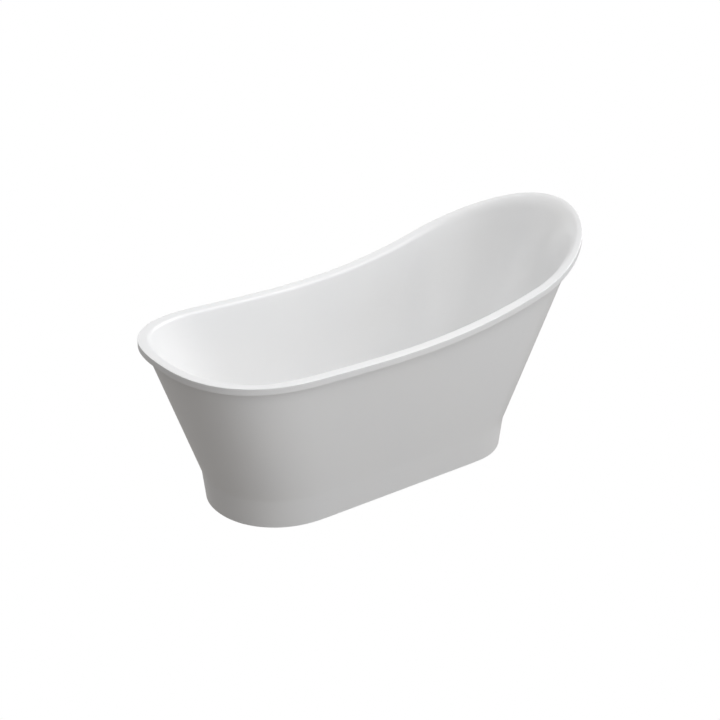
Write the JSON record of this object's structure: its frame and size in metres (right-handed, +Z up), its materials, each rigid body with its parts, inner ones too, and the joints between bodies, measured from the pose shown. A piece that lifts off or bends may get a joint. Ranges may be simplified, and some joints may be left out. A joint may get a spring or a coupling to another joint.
{
  "type": "freestanding bathtub",
  "caption": "Freestanding slipper bath with a raised head end, flat rim, tapering one-piece apron, push-open drain, overflow, low trap and levelling feet.",
  "frame": {"origin": "on the floor, under the middle of the rim's length and width", "axes": "+X along the bath towards the raised head end, +Z up; the bath is symmetric about the XZ plane"},
  "size_m": [1.7, 0.72, 0.8112],
  "materials": {
    "acrylic": "white, glossy cast acrylic",
    "laminate": "cream glass-fibre laminate, rough",
    "chipboard": "raw chipboard",
    "softwood": "raw pine",
    "galvanised": "galvanised steel tube",
    "zinc": "bright zinc plate",
    "chrome": "polished chrome",
    "brass": "machined brass",
    "spring_steel": "drawn wire",
    "rubber": "matt black rubber",
    "white_plastic": "moulded white plastic",
    "black_plastic": "moulded black plastic"
  },
  "bodies": {
    "bath": {"apron": "acrylic", "apron_block_1": "softwood", "apron_block_2": "softwood", "apron_block_3": "softwood", "apron_block_4": "softwood", "baseboard": "chipboard", "basin": "acrylic", "basin_laminate": "laminate", "block_screw_1": "zinc", "block_screw_2": "zinc", "block_screw_3": "zinc", "block_screw_4": "zinc", "drain_flange": "chrome", "drain_seal_lower": "rubber", "drain_seal_upper": "rubber", "drain_shoe": "white_plastic", "foot_locknut_1": "zinc", "foot_locknut_2": "zinc", "foot_locknut_3": "zinc", "foot_locknut_4": "zinc", "foot_locknut_5": "zinc", "frame_crossbar_foot": "galvanised", "frame_crossbar_head": "galvanised", "frame_crossbar_middle": "galvanised", "frame_rail_left": "galvanised", "frame_rail_right": "galvanised", "overflow_cover": "chrome", "overflow_elbow": "white_plastic", "overflow_nut_lower": "white_plastic", "overflow_nut_upper": "white_plastic", "overflow_pipe": "white_plastic", "overflow_screw": "zinc", "overflow_seal": "rubber", "plug_cartridge": "brass", "plug_spring": "spring_steel", "rail_screw_1": "zinc", "rail_screw_2": "zinc", "rail_screw_3": "zinc", "rail_screw_4": "zinc", "trap_body": "white_plastic", "trap_nut": "white_plastic"},
    "plug": {"drain_plug": "chrome", "plug_seal": "rubber", "plug_plunger": "brass"},
    "foot_1": {"foot_pad_1": "black_plastic", "foot_stud_1": "zinc"},
    "foot_2": {"foot_pad_2": "black_plastic", "foot_stud_2": "zinc"},
    "foot_3": {"foot_pad_3": "black_plastic", "foot_stud_3": "zinc"},
    "foot_4": {"foot_pad_4": "black_plastic", "foot_stud_4": "zinc"},
    "foot_5": {"foot_pad_5": "black_plastic", "foot_stud_5": "zinc"}
  },
  "joints": [
    {"name": "plug_lift", "type": "slide", "parent": "bath", "child": "plug", "axis": [0, 0, 1], "range_m": [0, 0.01], "deforming": ["plug_spring"]},
    {"name": "foot_1_extend", "type": "slide", "parent": "bath", "child": "foot_1", "axis": [0, 0, -1], "range_m": [0, 0.015]},
    {"name": "foot_2_extend", "type": "slide", "parent": "bath", "child": "foot_2", "axis": [0, 0, -1], "range_m": [0, 0.015]},
    {"name": "foot_3_extend", "type": "slide", "parent": "bath", "child": "foot_3", "axis": [0, 0, -1], "range_m": [0, 0.015]},
    {"name": "foot_4_extend", "type": "slide", "parent": "bath", "child": "foot_4", "axis": [0, 0, -1], "range_m": [0, 0.015]},
    {"name": "foot_5_extend", "type": "slide", "parent": "bath", "child": "foot_5", "axis": [0, 0, -1], "range_m": [0, 0.015]}
  ]
}
